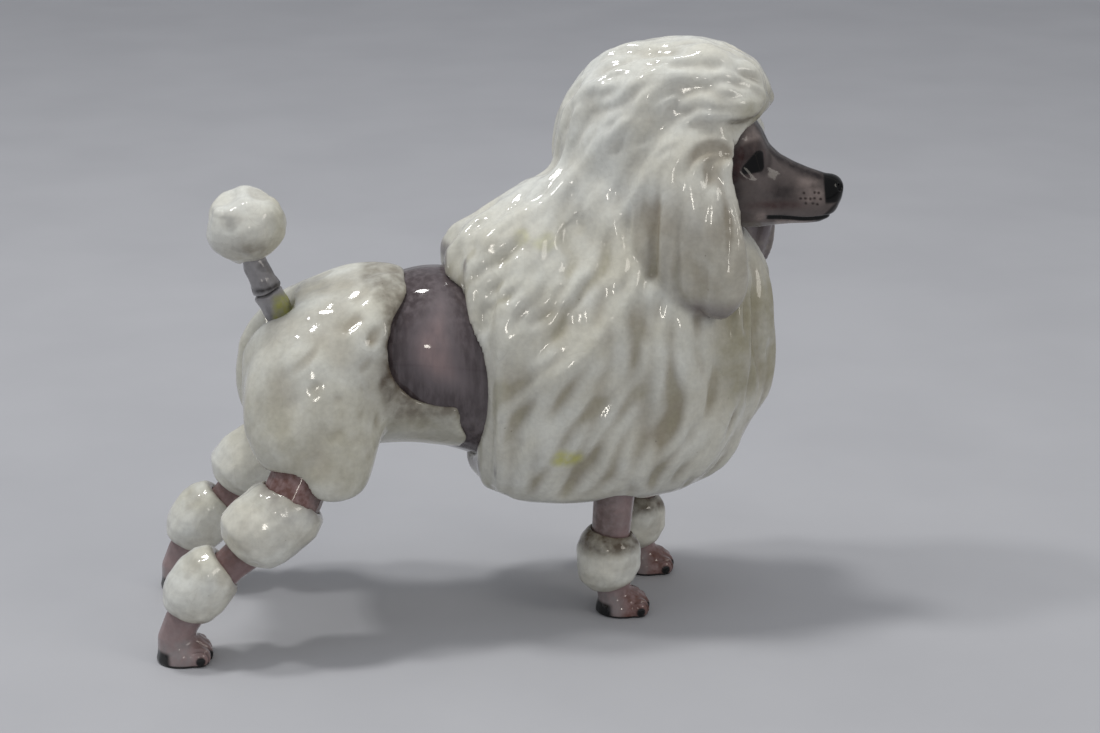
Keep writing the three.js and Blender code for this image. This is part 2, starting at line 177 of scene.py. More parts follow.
class Clay:
    """A solid held as signed distances in mm on a regular grid, negative inside."""

    def __init__(self, names, step, margin=3.0):
        low, high = corners(*names)
        self.step = step
        self.first = np.floor((low - margin) / step).astype(int)
        last = np.ceil((high + margin) / step).astype(int)
        self.shape = tuple(last - self.first + 1)
        self.values = self.solid(names[0])

    def solid(self, name):
        """Distances to one CAD node on this grid."""
        points, faces = node_mesh(name)
        spacing = vdb.createLinearTransform(voxelSize=self.step)
        half = REACH / self.step
        grid = vdb.FloatGrid.createLevelSetFromPolygons(
            points, triangles=faces, transform=spacing, halfWidth=half
        )
        found = np.full(self.shape, REACH, np.float32)
        grid.copyToArray(found, ijk=tuple(int(i) for i in self.first))
        return found

    def places(self):
        """X, Y and Z of the samples, ready to broadcast."""
        lines = [(np.arange(n) + f) * self.step for n, f in zip(self.shape, self.first)]
        return np.meshgrid(*lines, indexing="ij", sparse=True)

    def read(self, values, points):
        """Values of a grid like this clay's own at some points."""
        return sample(values, points / self.step - self.first)

    def slopes(self):
        """Outward directions on the whole grid."""
        return unit(np.stack(np.gradient(self.values), axis=-1))

    def nearest(self, values, points):
        """Values of a grid like this clay's own at the samples nearest to some points."""
        cell = np.rint(points / self.step - self.first).astype(int)
        return values[tuple(np.clip(cell, 0, np.array(self.shape) - 1).T)]

    def add(self, name, soft):
        self.values = merge(self.values, self.solid(name), soft)

    def soften(self, rounds):
        """Averages every sample with its neighbours, `rounds` times along each axis."""
        v = self.values
        for _ in range(rounds):
            for axis in range(3):
                v = np.moveaxis(v, axis, 0)
                inner = (v[:-2] + 2 * v[1:-1] + v[2:]) / 4
                v = np.concatenate([v[:1], inner, v[-1:]])
                v = np.moveaxis(v, 0, axis)
        self.values = np.ascontiguousarray(v)

    def blob(self, centre, radii, axes=None, add=True, soft=1.0):
        """Adds, or cuts away, an ellipsoid with its own axes."""
        axes = np.eye(3) if axes is None else np.array(axes)
        reach = max(radii) + REACH + soft
        low = np.floor((centre - reach) / self.step).astype(int) - self.first
        high = np.ceil((centre + reach) / self.step).astype(int) - self.first + 1
        low = np.clip(low, 0, self.shape)
        high = np.clip(high, 0, self.shape)
        if np.any(high <= low):
            return
        lines = [(np.arange(low[i], high[i]) + self.first[i]) * self.step - centre[i] for i in range(3)]
        x, y, z = np.meshgrid(*lines, indexing="ij")
        local = [(x * a[0] + y * a[1] + z * a[2]) for a in axes]
        scaled = np.sqrt(sum((c / r) ** 2 for c, r in zip(local, radii)))
        slope = np.sqrt(sum((c / r**2) ** 2 for c, r in zip(local, radii)))
        distance = scaled * (scaled - 1) / np.maximum(slope, 1e-6)
        block = tuple(slice(low[i], high[i]) for i in range(3))
        if add:
            self.values[block] = merge(self.values[block], distance, soft)
        else:
            self.values[block] = -merge(-self.values[block], distance, soft)

    def floor(self, height):
        """Cuts the clay flat below a height."""
        z = (np.arange(self.shape[2]) + self.first[2]) * self.step
        self.values = np.maximum(self.values, (height - z)[None, None, :]).astype(np.float32)

    def skin(self):
        grid = vdb.FloatGrid(REACH)
        grid.transform = vdb.createLinearTransform(voxelSize=self.step)
        values = np.clip(self.values, -REACH, REACH).astype(np.float32)
        grid.copyFromArray(values, ijk=tuple(int(i) for i in self.first))
        points, quads = grid.convertToQuads(isovalue=0)
        return Skin(points.astype(float), quads.astype(int))


# ---- skins ----
class Skin:
    """A closed quad mesh in mm with named masks on its points."""

    def __init__(self, points, quads):
        self.points = points
        self.quads = quads
        pairs = [quads[:, [i, (i + 1) % 4]] for i in range(4)]
        self.here, self.there = np.concatenate(pairs).T
        self.valence = np.maximum(np.bincount(self.here, minlength=len(points)), 1)
        self.masks = {}
        self.refresh()

    def refresh(self):
        """Works out the point normals again."""
        p = self.points[self.quads]
        face = np.cross(p[:, 2] - p[:, 0], p[:, 3] - p[:, 1])
        total = np.zeros_like(self.points)
        for axis in range(3):
            for corner in range(4):
                total[:, axis] += np.bincount(
                    self.quads[:, corner], weights=face[:, axis], minlength=len(total)
                )
        self.normals = unit(total)

    def blur(self, values, rounds):
        """Averages values with those of neighbouring points."""
        for _ in range(rounds):
            near = np.bincount(self.here, weights=values[self.there], minlength=len(values))
            values = (values + near / self.valence) / 2
        return values

    def relax(self, rounds):
        """Smooths the surface without shrinking it much."""
        for _ in range(rounds):
            for share in (0.6, -0.62):
                near = [
                    np.bincount(self.here, weights=self.points[self.there, a], minlength=len(self.points))
                    for a in range(3)
                ]
                mean = np.stack(near, axis=1) / self.valence[:, None]
                self.points = self.points + share * (mean - self.points)
        self.refresh()

    def push(self, height):
        self.points = self.points + self.normals * height[:, None]
        self.refresh()


# ---- hair ----
def comb(skin, clay, flow):
    """Follows the flow over the surface from every point: (distance, points) pairs, both ways."""
    slopes = clay.slopes()
    stations = [(0.0, skin.points)]
    for way in (-COMB_STEP, COMB_STEP):
        points = skin.points
        for count in range(1, int(COMB_REACH / COMB_STEP) + 1):
            normal = clay.nearest(slopes, points)
            heading = flow(points)
            heading = unit(heading - normal * np.sum(heading * normal, axis=1, keepdims=True))
            drift = clay.read(clay.values, points)[:, None]
            points = points + heading * way - normal * np.clip(drift, -0.5, 0.5)
            stations.append((count * COMB_STEP, points))
    return stations


def strands(stations, grain, length):
    """Grain drawn out along the combed paths into streaks about `length` mm long, spread 1."""
    total = 0
    for distance, points in stations:
        if distance < length / 2:
            total = total + grain.at(points) * math.cos(math.pi * distance / length) ** 2
    return total / total.std()


def crest(streaks):
    """Full rounded ridges with narrower partings between them, from -1 to 1."""
    return np.tanh(0.85 * (streaks + 0.45))


# ---- the head's own frame ----
def head_frame():
    """The neck's turning point and the head's forward and left directions."""
    points, _ = node_mesh("head")
    forward = np.array([math.cos(HEAD_TURN), math.sin(HEAD_TURN), 0])
    left = np.array([-forward[1], forward[0], 0])
    nose = points[np.argmax(points @ forward)]
    neck = nose - forward * MUZZLE_REACH
    neck = neck - left * (neck @ left - np.array([42.0, 0, 0]) @ left)
    neck[2] = 0
    return neck, forward, left


NECK, FORWARD, LEFT = head_frame()
UP = np.array([0.0, 0, 1])
HEAD_AXES = (FORWARD, LEFT, UP)


def in_head(points):
    """Forward, leftward and upward coordinates in the head's frame."""
    away = points - NECK
    return away @ FORWARD, away @ LEFT, points[:, 2]


def from_head(forward, left, up):
    return NECK + FORWARD * forward + LEFT * left + UP * up


# ---- finished pieces ----
def make_piece(name, skin, nodes, material):
    mesh = bpy.data.meshes.new(name)
    count = len(skin.quads)
    mesh.vertices.add(len(skin.points))
    mesh.vertices.foreach_set("co", (skin.points * MM).astype(np.float32).ravel())
    mesh.loops.add(count * 4)
    mesh.loops.foreach_set("vertex_index", skin.quads.astype(np.int32).ravel())
    mesh.polygons.add(count)
    mesh.polygons.foreach_set("loop_start", np.arange(count, dtype=np.int32) * 4)
    mesh.update(calc_edges=True)
    mesh.validate()
    mesh.shade_smooth()
    for mask, values in skin.masks.items():
        attribute = mesh.attributes.new(mask, "FLOAT", "POINT")
        attribute.data.foreach_set("value", np.clip(values, 0, 1).astype(np.float32))
    mesh.materials.append(material)
    piece = bpy.data.objects.new(name, mesh)
    bpy.context.scene.collection.objects.link(piece)
    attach(piece, "root")
    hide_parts(*nodes)
    return piece


# ---- materials ----
class Paint:
    """Builds one glaze material from layers of colour."""

    def __init__(self, name):
        self.material = bpy.data.materials.new(name)
        self.material.use_nodes = True
        self.tree = self.material.node_tree
        self.shader = self.tree.nodes["Principled BSDF"]
        self.place = self.tree.nodes.new("ShaderNodeTexCoord").outputs["Object"]

    def node(self, kind, **values):
        made = self.tree.nodes.new("ShaderNode" + kind)
        for key, value in values.items():
            setattr(made, key, value)
        return made

    def join(self, value, socket):
        if isinstance(value, (int, float, tuple)):
            socket.default_value = value
        else:
            self.tree.links.new(value, socket)

    def noise(self, size, detail=3.0, stretch=(1, 1, 1)):
        """Noise whose features are about `size` mm, longer along the axes stretched above 1."""
        mapping = self.node("Mapping")
        mapping.inputs["Scale"].default_value = [1 / s for s in stretch]
        self.join(self.place, mapping.inputs["Vector"])
        noise = self.node("TexNoise")
        noise.inputs["Scale"].default_value = 1 / (size * MM)
        noise.inputs["Detail"].default_value = detail
        self.join(mapping.outputs[0], noise.inputs["Vector"])
        return noise.outputs["Fac"]

    def spread(self, value, low, high, bottom=0.0, top=1.0):
        """Stretches low..high to bottom..top, clamped."""
        made = self.node("MapRange")
        for socket, number in zip(made.inputs[1:5], (low, high, bottom, top)):
            socket.default_value = number
        self.join(value, made.inputs[0])
        return made.outputs[0]

    def mask(self, name):
        return self.node("Attribute", attribute_name=name).outputs["Fac"]

    def times(self, a, b):
        made = self.node("Math", operation="MULTIPLY")
        self.join(a, made.inputs[0])
        self.join(b, made.inputs[1])
        return made.outputs[0]

    def mix(self, share, a, b, blend="MIX"):
        made = self.node("Mix", data_type="RGBA", blend_type=blend)
        self.join(share, made.inputs["Factor"])
        self.join(a, made.inputs["A"])
        self.join(b, made.inputs["B"])
        return made.outputs["Result"]

    def craze(self, size, width):
        """Thin lines of a crackled glaze, 0 to 1."""
        cells = self.node("TexVoronoi", feature="DISTANCE_TO_EDGE")
        cells.inputs["Scale"].default_value = 1 / (size * MM)
        self.join(self.place, cells.inputs["Vector"])
        return self.spread(cells.outputs["Distance"], 0.0, width, 1.0, 0.0)


def rgb(red, green, blue):
    return (red, green, blue, 1.0)


CLOUD_SIZE = 14  # mm, of the drift between a glaze's two tones
SPECK_SPACING = 3.4  # mm
SPECK_COLOUR = rgb(0.09, 0.07, 0.05)
CRACKLE_SIZE = 5.5  # mm between the lines of the crackle
CRACKLE_WIDTH = 0.012  # as a share of that
CRACKLE_COLOUR = rgb(0.22, 0.18, 0.13)
CRACKLE_SHARE = 0.1
PEEL_SIZE = 1.7  # mm, of the glaze's faint orange peel
PEEL_STRENGTH = 0.05


def glaze(name, tones, layers, gloss=0.05, specks=0.4, stretch=(1, 1, 1), ior=1.52):
    """A clear gloss glaze over painted layers, each (mask, colour, noise size mm, least share)."""
    paint = Paint(name)
    cloud = paint.spread(paint.noise(CLOUD_SIZE, 4, stretch), 0.35, 0.65)
    colour = paint.mix(cloud, tones[0], tones[1])
    for mask, tone, size, least in layers:
        broken = paint.spread(paint.noise(size, 4, stretch), 0.32, 0.62, least, 1.0)
        colour = paint.mix(paint.times(paint.mask(mask), broken), colour, tone)

    fine = paint.spread(paint.noise(1.1, 5, stretch), 0.3, 0.7, 0.92, 1.05)
    grey = paint.node("CombineColor")
    for socket in grey.inputs[:3]:
        paint.join(fine, socket)
    colour = paint.mix(1.0, colour, grey.outputs[0], "MULTIPLY")

    dots = paint.node("TexVoronoi")
    dots.inputs["Scale"].default_value = 1 / (SPECK_SPACING * MM)
    paint.join(paint.place, dots.inputs["Vector"])
    dot = paint.spread(dots.outputs["Distance"], 0.035, 0.075, specks, 0.0)
    rare = paint.spread(paint.noise(6, 2), 0.56, 0.6)
    colour = paint.mix(paint.times(dot, rare), colour, SPECK_COLOUR)
    crackle = paint.times(paint.craze(CRACKLE_SIZE, CRACKLE_WIDTH), CRACKLE_SHARE)
    colour = paint.mix(crackle, colour, CRACKLE_COLOUR)
    paint.join(colour, paint.shader.inputs["Base Color"])

    rough = paint.spread(paint.noise(9, 4), 0.3, 0.75, gloss, gloss + 0.1)
    paint.join(rough, paint.shader.inputs["Roughness"])
    peel = paint.node("Bump")
    peel.inputs["Strength"].default_value = PEEL_STRENGTH
    peel.inputs["Distance"].default_value = 0.4 * MM
    paint.join(paint.noise(PEEL_SIZE, 2), peel.inputs["Height"])
    paint.join(peel.outputs[0], paint.shader.inputs["Normal"])
    paint.shader.inputs["IOR"].default_value = ior
    return paint.material


CREAM = rgb(0.74, 0.75, 0.705)
IVORY = rgb(0.7, 0.685, 0.6)
TAUPE = rgb(0.25, 0.205, 0.145)
UMBER = rgb(0.1, 0.075, 0.05)
OLIVE = rgb(0.33, 0.305, 0.2)
MAUVE = rgb(0.15, 0.125, 0.135)
YELLOW = rgb(0.52, 0.51, 0.17)
BLACK = rgb(0.002, 0.002, 0.002)

COAT_GLAZE = glaze(
    "coat_glaze",
    (CREAM, IVORY),
    [
        # The taupe wash layer is the glaze's wash in partings and hollows, and it also carries painted
        # shade that the pieces add.
        ("wash_and_shade", TAUPE, 9, 0.55),
        ("olive", OLIVE, 5, 0.45),
        ("mauve", MAUVE, 3, 0.7),
        ("umber", UMBER, 2.5, 0.5),
        ("stain", YELLOW, 2.2, 0.35),
    ],
)
FACE_GLAZE = glaze(
    "face_glaze",
    (rgb(0.16, 0.135, 0.13), rgb(0.09, 0.074, 0.07)),
    [
        ("pale", rgb(0.33, 0.27, 0.25), 1.6, 0.4),
        ("rust", rgb(0.06, 0.022, 0.02), 1.6, 0.5),
        ("dark", rgb(0.018, 0.014, 0.015), 1.8, 0.55),
        ("black", BLACK, 2, 1.0),
    ],
    specks=0.2,
    ior=1.34,
)
LOIN_GLAZE = glaze(
    "loin_glaze",
    (rgb(0.2, 0.17, 0.178), rgb(0.145, 0.12, 0.13)),
    [
        ("pink", rgb(0.27, 0.2, 0.2), 3, 0.35),
        ("dark", rgb(0.06, 0.045, 0.048), 1.3, 0.35),
    ],
    gloss=0.04,
    specks=0.2,
    stretch=(1, 1, 5),
)
TAIL_GLAZE = glaze(
    "tail_glaze",
    (rgb(0.4, 0.39, 0.4), rgb(0.25, 0.24, 0.25)),
    [
        ("dark", rgb(0.03, 0.026, 0.026), 1.6, 0.5),
        ("glue", rgb(0.36, 0.36, 0.12), 1.2, 0.5),
    ],
    gloss=0.14,
)
LEG_GLAZE = glaze(
    "leg_glaze",
    (rgb(0.36, 0.25, 0.245), rgb(0.24, 0.16, 0.16)),
    [
        ("grey", rgb(0.27, 0.245, 0.245), 2, 0.4),
        ("rust", rgb(0.13, 0.05, 0.035), 1.5, 0.25),
        ("umber", rgb(0.075, 0.055, 0.045), 1.2, 0.3),
        ("black", BLACK, 2, 1.0),
    ],
)


# ---- coat of the forehand: mane, topknot and ears ----
CROWN_CENTRE = (14.0, 96.0)  # the topknot's strands run round this point of the head's side
EARS = ("ear_right", "ear_left")
TOPKNOT_FILLET = 4.0  # mm, where the topknot runs into the mane
EAR_FILLET = 0.9  # mm, where an ear lies on the coat
EAR_ROOT_FILLET = 4.5  # mm more where an ear grows out of the topknot
LOCK_DEPTHS = {"mane": 0.68, "tufts": 0.56, "crown": 0.58, "ear": 0.85}  # mm
BROAD_DEPTH = 0.42  # mm, of the slow swellings under the locks
# Yellow stains on the coat: (place, radius, strength).
STAINS = [
    (np.array([13.0, -24.6, 43.3]), 2.7, 0.95),
    (np.array([4.3, -11.7, 92.9]), 1.7, 0.3),
    (np.array([9.4, -15.2, 91.8]), 2.2, 0.3),
]
STAIN_SHAPE = [0.85, 0.3, 1.25]  # a stain is wider than it is tall


def mane_flow(points):
    """Down the sides, swept back on the rear half, with a slow sway."""
    x, _, z = points.T
    swept = 0.8 * ramp(x, 44, 4) * (0.5 + 0.5 * ramp(z, 38, 78))
    breast = 0.2 * ramp(x, 48, 62) * ramp(z, 50, 70)
    sweep = 0.12 + swept - breast
    sway = 0.24 * np.sin(z / 6.2 + x / 11) * ramp(x, 6, 20)
    return unit(np.stack([sway - sweep, 0.1 * np.sin(x / 7 + z / 9), -np.ones(len(x))], axis=1))


def crown_flow(points):
    """Round the head from the forelock over the back of the skull and down the nape."""
    forward, _, up = in_head(points)
    ahead, above = forward - CROWN_CENTRE[0], up - CROWN_CENTRE[1]
    sway = 0.3 * np.sin(forward / 3.6 + up / 5)
    return unit(-above[:, None] * FORWARD + (ahead + sway * np.abs(above))[:, None] * UP)


def crown_share(points):
    forward, _, up = in_head(points)
    return ramp(forward, -32, -27) * ramp(up, 82, 97)


def stains(points, locks):
    found = np.zeros(len(points))
    for centre, radius, strength in STAINS:
        away = np.linalg.norm((points - centre) * STAIN_SHAPE, axis=1)
        found = np.maximum(found, strength * ramp(away + 0.3 * locks, radius * 1.5, radius * 0.6))
    return found


def make_forehand():
    clay = Clay(["mane_coat", "topknot", *EARS], COAT_STEP)
    clay.add("topknot", TOPKNOT_FILLET)
    x, y, z = clay.places()
    forward = (x - NECK[0]) * FORWARD[0] + (y - NECK[1]) * FORWARD[1]
    blended = np.maximum(ramp(forward, 9, -1) * ramp(z, 82, 94), ramp(z, 104, 111))
    ears = np.minimum(clay.solid(EARS[0]), clay.solid(EARS[1]))
    on_ear = ramp(clay.values - ears, -1.5, 1.0)
    clay.values = merge(clay.values, ears, EAR_FILLET + EAR_ROOT_FILLET * blended)
    clay.soften(4)
    skin = clay.skin()
    skin.relax(6)

    def flow(points):
        crown = crown_share(points)[:, None]
        ear = (clay.nearest(on_ear, points) * ramp(points[:, 2], 114, 105))[:, None]
        coat = blend(crown, mane_flow(points), crown_flow(points))
        return unit(blend(ear, coat, -UP + 0.1 * FORWARD * np.sin(points[:, 2:] / 8)))

    stations = comb(skin, clay, flow)
    low, high = skin.points.min(axis=0), skin.points.max(axis=0)

    def streaks(size, length, seed):
        return strands(stations, Grain(low - COMB_REACH, high + COMB_REACH, size, seed), length)

    forward, left, up = in_head(skin.points)
    x, _, z = skin.points.T
    ear = skin.blur(clay.read(on_ear, skin.points), 3)
    crown = crown_share(skin.points) * (1 - ear)
    tufted = ramp(x, 24, 8) * ramp(z, 62, 80) * (1 - crown) * (1 - ear)
    rear = -skin.normals[:, 0]
    back = ramp(x, 6, 0) * ramp(z, 92, 86)
    flat = skin.blur(ramp(rear, 0.55, 0.85) * back, 6)
    bare = ramp(skin.blur(ramp(rear, 0.85, 0.95) * back, 5), 0.5, 0.9)
    bare = bare * np.maximum(ramp(z, 83, 86), ramp(z, 42, 39))
    under = ramp(-skin.normals[:, 2], 0.5, 0.85) * ramp(z, 42, 34)
    hem = ramp(z, 27, 36) * 0.6 + 0.4
    calm = (1 - flat) * (1 - 0.85 * under) * hem

    long_locks = 0.8 * streaks(4.5, 17, 11) + 0.6 * streaks(8.0, 22, 18)
    short_locks = 0.8 * streaks(4.0, 9, 12) + 0.5 * streaks(7.0, 12, 19)
    waves = 0.85 * streaks(3.8, 9, 13) + 0.5 * streaks(7.0, 13, 17)
    lumps = 0.4 * streaks(3.9, 9, 20) + 0.9 * streaks(6.2, 13, 21)
    curls = blend(ramp(up, 106, 117), lumps, waves)
    locks = blend(crown, blend(tufted, long_locks, short_locks), curls)
    locks = blend(ear, locks, streaks(5.2, 24, 14))
    depth = blend(tufted, LOCK_DEPTHS["mane"], LOCK_DEPTHS["tufts"])
    depth = blend(ear, blend(crown, depth, LOCK_DEPTHS["crown"]), LOCK_DEPTHS["ear"])
    broad = streaks(16, 20, 16) * blend(crown, 1, 1.5)
    height = (depth * crest(locks) + BROAD_DEPTH * broad * (1 - 0.5 * ear)) * calm
    skin.push(skin.blur(height, 2) - 0.3 * calm - 0.6 * crown + 1.1 * flat)
    skin.relax(2)

    x, _, z = skin.points.T
    parting = skin.blur(ramp(locks + 0.3 * broad, 0.7, -2.0), 3)
    # The wash is heavier low on the mane and towards the front; on the ears it grows towards their lower
    # ends as painted shade.
    wash_weight = 0.3 + 0.62 * ramp(z, 94, 74)
    wash_weight = wash_weight * (1 - 0.45 * tufted) * (0.75 + 0.25 * ramp(x, 20, 45))
    wash_weight = blend(ear, wash_weight, 1.1 + 0.3 * ramp(up, 104, 88))
    chest = ramp(x, 40, 53) * ramp(z, 46, 58) * ramp(z, 84, 74) * 0.8
    # Painted shade: on the coat round the head at eye height, low on the ears, and on the chest below the
    # head.
    shaded = bump(up, 106, 5) * ramp(forward, -12, 2) * (1 - ear) * 0.35
    ear_and_chest_shade = np.maximum(0.6 * ear * ramp(up, 108, 94), 0.5 * chest * (1 - ear))
    wash_and_shade = np.minimum(parting * wash_weight * 1.1, 0.8)
    skin.masks["wash_and_shade"] = np.maximum.reduce([wash_and_shade, shaded, ear_and_chest_shade]) * calm

    front_tip = bump(forward, 20, 4) * bump(up, 119, 4)
    warm = 0.22 * ramp(z, 104, 84)
    deep = 0.9 * ramp(parting, 0.4, 1) * warm * 3
    skin.masks["olive"] = np.maximum.reduce([front_tip, chest, warm, deep])

    inward = ramp(-(skin.normals @ LEFT), -0.1, 0.4)
    inner_left = ramp(left, 13, 15.5) * ear * ramp(up, 112, 106) * inward
    tip = ear * ramp(up, 81, 76.5) * 0.75
    skin.masks["mauve"] = np.maximum.reduce([0.75 * bare, tip, inner_left])

    # Painted shade in umber where the forelock turns down over the face.
    forelock_underside_shade = ramp(forward, 13, 15) * ramp(-skin.normals[:, 2], 0.1, 0.7) * ramp(up, 104, 108)
    skin.masks["umber"] = 0.6 * forelock_underside_shade
    skin.masks["stain"] = stains(skin.points, locks)
    nodes = ["mane_coat", "topknot", *EARS]
    return make_piece("forehand_coat_hair", skin, nodes, COAT_GLAZE)


# ---- loin, hindquarters ----
def make_loin():
    clay = Clay(["loin"], FINE_STEP * 1.4)
    clay.values -= 0.3
    clay.soften(3)
    skin = clay.skin()
    skin.relax(3)
    low, high = corners("loin")
    skin.push(1.5 * bump(skin.points[:, 0], blend(0.5, low[0], high[0]), 7.5))
    rump = distance_to("hindquarter_coat", skin.points)
    mane = distance_to("mane_coat", skin.points)
    skin.masks["dark"] = np.maximum(0.95 * ramp(rump, 7, 0.8), 0.8 * ramp(mane, 7, 2))
    skin.masks["pink"] = ramp(rump, 4, 9) * ramp(mane, 5, 9)
    return make_piece("loin_skin", skin, ["loin"], LOIN_GLAZE)


def make_hindquarters():
    clay = Clay(["hindquarter_coat"], COAT_STEP)
    for step in range(7):
        share = step / 6
        centre = blend(share, np.array([-53.0, 0, 76]), np.array([-61.0, 0, 55]))
        clay.blob(centre, (3.6, 2.6, 3.6), add=False, soft=4)
    for side in (-1, 1):
        clay.blob(np.array([-50.2, side * 4.4, 79.4]), (4.6, 4.2, 4.2), add=False, soft=3)
    clay.soften(6)
    skin = clay.skin()
    skin.relax(3)

    def flow(points):
        return np.tile(unit(np.array([-0.55, 0.0, -0.8])), (len(points), 1))

    stations = comb(skin, clay, flow)
    low, high = skin.points.min(axis=0) - COMB_REACH, skin.points.max(axis=0) + COMB_REACH
    upright = 1 - ramp(-skin.normals[:, 2], 0.5, 0.9)
    broad = strands(stations, Grain(low, high, 15, 31), 12)
    dimples = strands(stations, Grain(low, high, 5.5, 32), 9)
    dimpled = bump(skin.points[:, 0], -31, 12) * bump(skin.points[:, 2], 66, 13)
    dent = np.clip(-dimples - 0.4, 0, 1.4) * (0.25 + dimpled)
    height = skin.blur((0.28 * broad - 0.55 * dent) * upright, 3)
    skin.push(height)
    skin.relax(2)
    loin = distance_to("loin", skin.points)
    middle = bump(skin.points[:, 2], 66, 15)
    skin.masks["umber"] = ramp(loin, 6.2, 3.9) * (0.45 + 0.55 * middle) * ramp(skin.points[:, 2], 49, 55)
    skin.masks["wash_and_shade"] = np.maximum(0.6 * dent, 0.45 * ramp(broad, 0.3, -1.6)) * upright
    skin.masks["olive"] = 0.2 + 0.3 * ramp(skin.points[:, 2], 70, 50)
    return make_piece("hindquarter_coat_hair", skin, ["hindquarter_coat"], COAT_GLAZE)


# ---- head ----
# Places on the face are forward and up in the head's frame, in mm.
EYE = (18.5, 107.9)
EYE_SLANT = math.radians(53)  # of the painted lid
EYE_MIDDLE = (19.2, 107.2)
EYE_CORNERS = [(17.5, 106.35), (20.2, 106.55), (19.9, 109.1)]
LID_RIM = ((14.3, 104.6), (15.9, 110.2))
MOUTH_UP = 94.35
WHISKERS = [
    (30.4, 100.35), (32.8, 100.4), (33.7, 100.3),
    (29.7, 99.1), (30.8, 99.1), (31.9, 99.0), (32.8, 99.1), (34.2, 98.9),
    (30.9, 98.0), (32.5, 97.9), (33.5, 97.7),
]
# Soft patches of colour: (forward, half width, up, half height).
CHEEK_BAND = (24, 6, 97.6, 1.1)
SMUDGE = (25.5, 3.2, 100.6, 2.6)
WHISKER_PAD = (32.3, 2.8, 99.6, 2.0)
CHEEK = (31, 3.2, 102.6, 1.4)
JAW = (20.8, 1.8, 94.6, 1.8)
TEMPLE = (18.3, 1.8, 112.8, 2.4)


def patch(forward, up, spot):
    return bump(forward, spot[0], spot[1]) * bump(up, spot[2], spot[3])


def mouth_height(forward):
    """Height of the line between the lips, which dips below the whiskers."""
    return MOUTH_UP + 0.15 - 0.6 * bump(forward, 31.0, 4.0)


def eye_share(forward, up):
    """1 inside the eye, a triangle with round corners."""
    off = np.hypot(forward - EYE_MIDDLE[0], up - EYE_MIDDLE[1])
    for start, stop in zip(EYE_CORNERS, EYE_CORNERS[1:] + EYE_CORNERS[:1]):
        off = np.minimum(off, near_line(forward, up, start, stop))
    return ramp(off, 1.25, 0.95)


def lid_share(forward, up):
    along = (forward - EYE[0]) * math.cos(EYE_SLANT) + (up - EYE[1]) * math.sin(EYE_SLANT)
    across = (forward - EYE[0]) * math.sin(EYE_SLANT) - (up - EYE[1]) * math.cos(EYE_SLANT)
    return ramp(np.hypot(along / 4.6, (across + 0.9) / 3.4), 1.15, 0.8)


def make_head():
    clay = Clay(["head"], FACE_STEP)
    clay.soften(5)
    for side in (-1, 1):
        eye_socket = from_head(20.4, side * 9.6, 108.8)
        clay.blob(eye_socket, (4.2, 1.7, 3.8), HEAD_AXES, add=False, soft=2.4)
    nose_pad = from_head(36.5, 0, 101.1)
    clay.blob(nose_pad, (2.3, 3.0, 2.4), HEAD_AXES, soft=1.2)
    for side in (-1, 1):
        nostril = from_head(38.4, side * 1.9, 101.2)
        clay.blob(nostril, (1.2, 0.7, 0.8), HEAD_AXES, add=False, soft=0.5)
    skin = clay.skin()
    skin.relax(3)
    forward, _, up = in_head(skin.points)
    span = ramp(forward, 21.6, 22.6) * ramp(forward, 38.6, 36.5)
    groove = bump(up, mouth_height(forward), 0.4) * span
    lip = bump(up, mouth_height(forward) + 1.4, 1.0) * span
    skin.push(0.2 * lip - 0.5 * groove)
    skin.relax(1)
    forward, left, up = in_head(skin.points)
    outer = ramp(np.abs(left), 0.8, 1.3)

    eye = eye_share(forward, up)
    lid = lid_share(forward, up)
    nose = ramp(forward + 0.12 * (up - 101), 34.7, 35.2) * ramp(up, 97.4, 98.2)
    under_nose = ramp(forward - 0.95 * (up - MOUTH_UP), 33.9, 34.7) * ramp(up, 99.2, 98)
    line = ramp(np.abs(up - mouth_height(forward)), 0.75, 0.5) * ramp(forward, 21.8, 22.4)
    dots = np.zeros(len(up))
    for dot in WHISKERS:
        dots = np.maximum(dots, ramp(np.hypot(forward - dot[0], up - dot[1]), 0.42, 0.2))
    skin.masks["black"] = np.maximum.reduce(
        [eye, nose, 0.85 * under_nose, line * outer, 0.7 * dots * outer]
    )

    rim = ramp(near_line(forward, up, *LID_RIM), 1.9, 0.8)
    band = patch(forward, up, CHEEK_BAND)
    skin.masks["rust"] = np.maximum.reduce([rim, 0.85 * band, 0.5 * dots * outer, 0.5 * (lid - eye)])

    hairline = ramp(forward, 17.2, 14.8)
    bridge = ramp(np.abs(left), 4.4, 2.2) * ramp(forward, 15, 18) * ramp(up, 98, 100)
    chin = ramp(up, 93.6, 92.6) * 0.6 * ramp(forward, 30, 34)
    socket = ramp(np.hypot((forward - 21.3) / 1.6, (up - 107.6) / 3.0), 1.3, 0.7)
    around_eye = np.maximum.reduce([0.55 * socket, 0.6 * lid, 0.6 * rim])
    smudge = 0.8 * patch(forward, up, SMUDGE)
    skin.masks["dark"] = np.maximum.reduce([0.85 * hairline, 0.95 * bridge, smudge, chin, around_eye])

    whisker_pad = patch(forward, up, WHISKER_PAD)
    cheek = 0.6 * patch(forward, up, CHEEK)
    lip_tint = ramp(up, 93.8, 93.4) * ramp(forward, 23, 25) * ramp(forward, 33, 30)
    jaw = 0.9 * patch(forward, up, JAW)
    temple = 0.9 * patch(forward, up, TEMPLE)
    skin.masks["pale"] = np.maximum.reduce([whisker_pad, cheek, lip_tint, jaw, temple])
    return make_piece("head_skin", skin, ["head"], FACE_GLAZE)


# ---- legs and cuffs ----
CLAW_TURNS = (-62, -24, 24, 62)  # degrees from straight ahead
TOE_SPACING = 2.5  # mm


